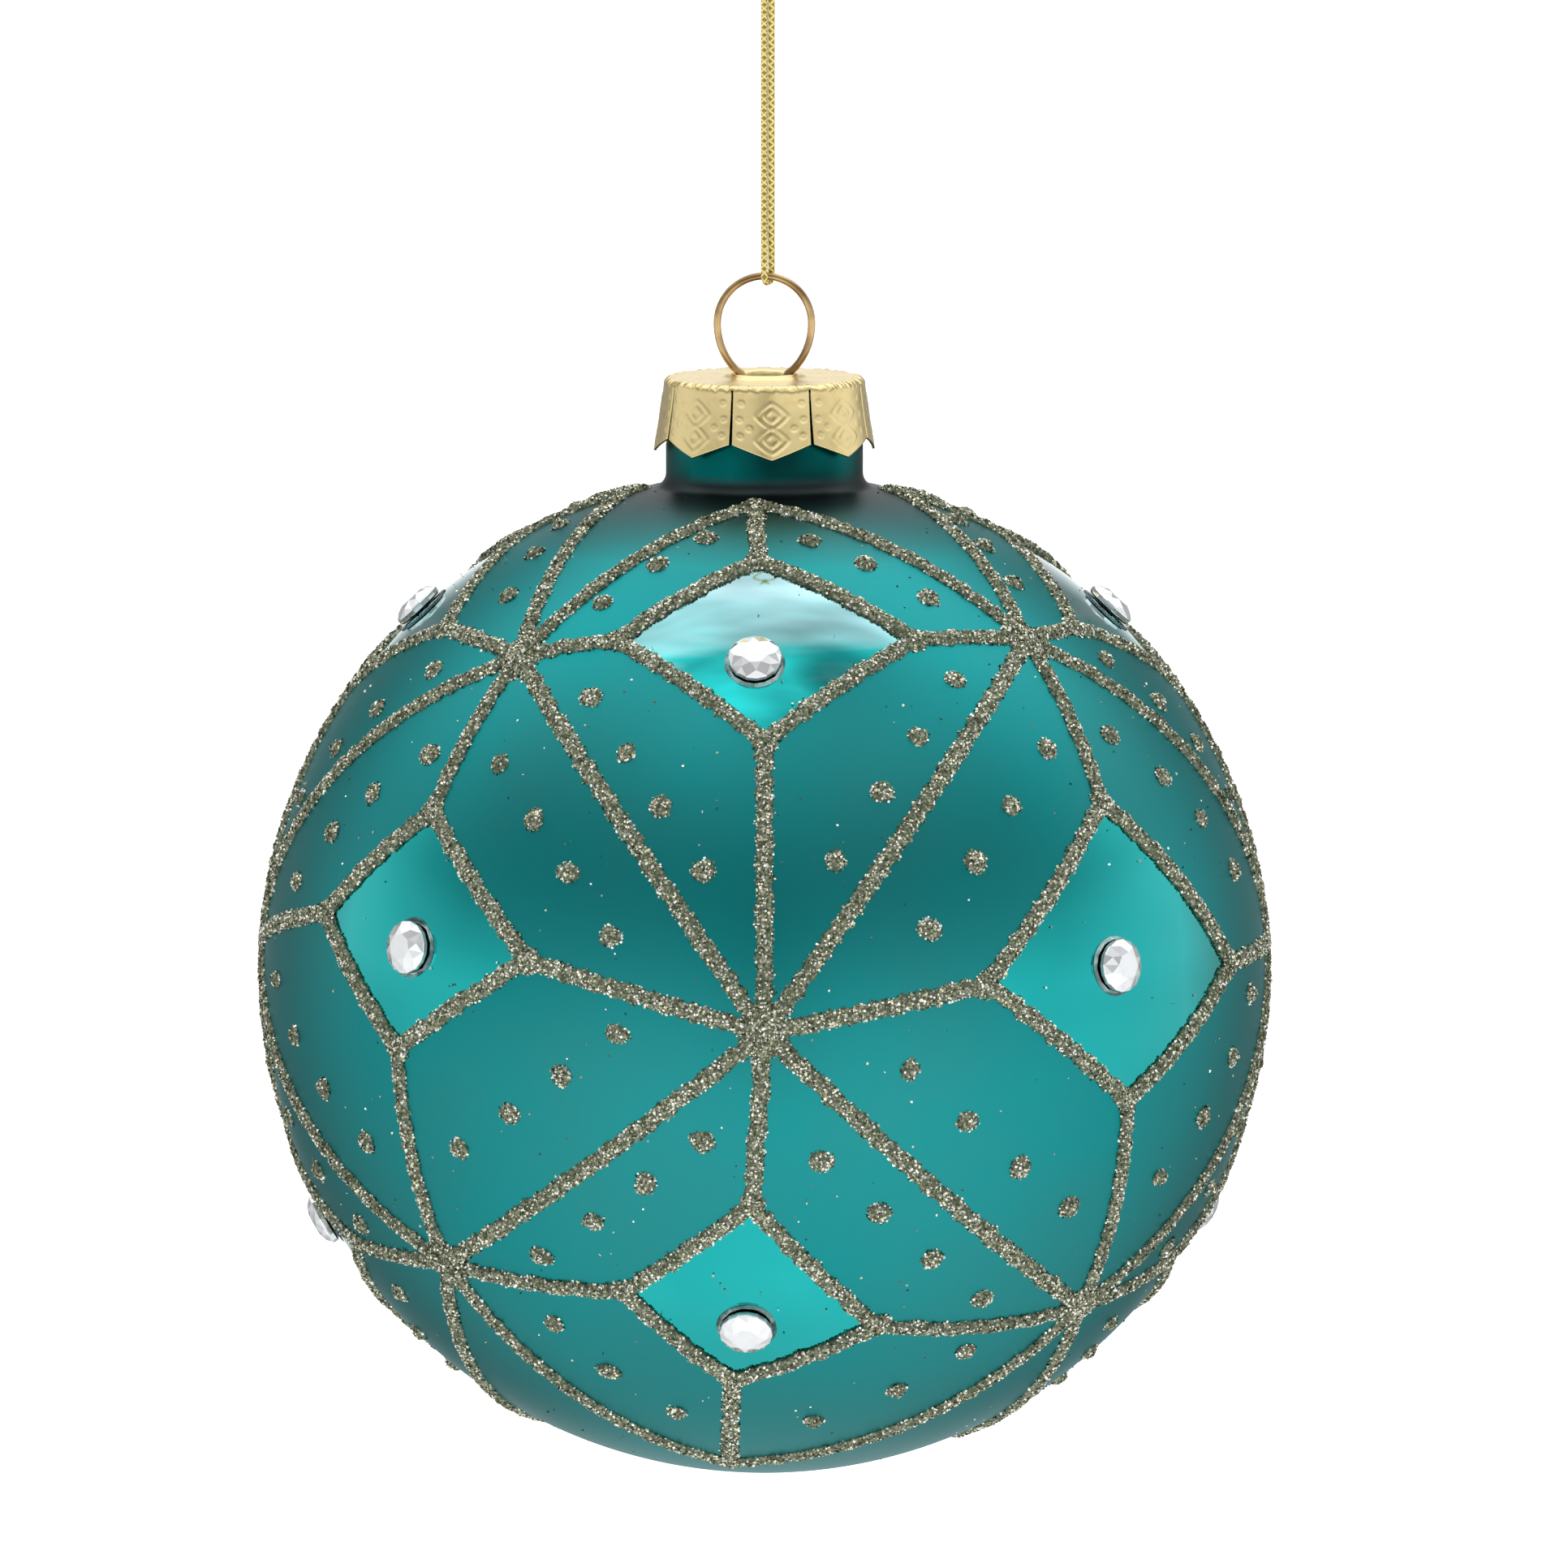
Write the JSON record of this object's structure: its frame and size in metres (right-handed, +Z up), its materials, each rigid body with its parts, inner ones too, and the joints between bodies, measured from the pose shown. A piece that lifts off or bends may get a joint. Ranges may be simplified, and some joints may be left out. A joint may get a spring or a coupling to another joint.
{
  "type": "glass ball ornament",
  "caption": "Blown glass hanging ball with frosted coat, glossy diamond windows, raised glitter lines and dots, glued stones, petal cap, wire ring and cord loop.",
  "frame": {"origin": "the point in the eye of the cord loop where the hook bears, under the knot", "axes": "+Z up along the ball's axis, through the cap and the ring; +Y to the back, so the side with the front top diamond faces -Y; +X to the right of that side"},
  "size_m": [0.1014, 0.1014, 0.1707],
  "materials": {
    "lacquered_glass": "silvered glass under glossy clear teal lacquer",
    "frost_lacquer": "frosted satin teal coat over silvered glass",
    "cap_tin": "pressed tin, champagne gold, embossed",
    "ring_wire": "drawn wire, bronze gold",
    "metallic_cord": "knitted metallic thread, lemon gold",
    "glitter": "champagne glitter in glue",
    "clear_glue": "dried clear glue",
    "stone": "faceted clear stone on silver foil"
  },
  "bodies": {
    "cord_loop": {"cord": "metallic_cord", "knot": "metallic_cord"},
    "wire_hanger": {"wire_hanger": "ring_wire"},
    "cap": {"cap": "cap_tin"},
    "ball": {"glass_ball": "lacquered_glass", "frost_coat": "frost_lacquer", "glitter_net_1": "glitter", "glitter_net_2": "glitter", "glitter_net_3": "glitter", "glitter_net_4": "glitter", "glitter_dots_1": "glitter", "glitter_dots_2": "glitter", "glitter_dots_3": "glitter", "glitter_dots_4": "glitter", "diamond_line_1": "glitter", "diamond_line_2": "glitter", "diamond_line_3": "glitter", "diamond_line_4": "glitter", "diamond_line_5": "glitter", "diamond_line_6": "glitter", "diamond_line_7": "glitter", "diamond_line_8": "glitter", "diamond_line_9": "glitter", "diamond_line_10": "glitter", "diamond_line_11": "glitter", "diamond_line_12": "glitter", "stone_1": "stone", "stone_2": "stone", "stone_3": "stone", "stone_4": "stone", "stone_5": "stone", "stone_6": "stone", "stone_7": "stone", "stone_8": "stone", "stone_9": "stone", "stone_10": "stone", "stone_11": "stone", "stone_12": "stone", "stone_glue_1": "clear_glue", "stone_glue_2": "clear_glue", "stone_glue_3": "clear_glue", "stone_glue_4": "clear_glue", "stone_glue_5": "clear_glue", "stone_glue_6": "clear_glue", "stone_glue_7": "clear_glue", "stone_glue_8": "clear_glue", "stone_glue_9": "clear_glue", "stone_glue_10": "clear_glue", "stone_glue_11": "clear_glue", "stone_glue_12": "clear_glue"}
  },
  "joints": [
    {"name": "ring_swing", "type": "hinge", "parent": "cord_loop", "child": "wire_hanger", "pos_m": [0, 0, -0.04337], "axis": [1, 0, 0], "range_deg": [-80, 80]},
    {"name": "wire_swivel", "type": "hinge", "parent": "wire_hanger", "child": "cap", "pos_m": [0, 0, -0.0536], "axis": [0, 0, 1], "continuous": true},
    {"name": "ball_pull", "type": "slide", "parent": "cap", "child": "ball", "axis": [0, 0, -1], "range_m": [0, 0.028]}
  ]
}
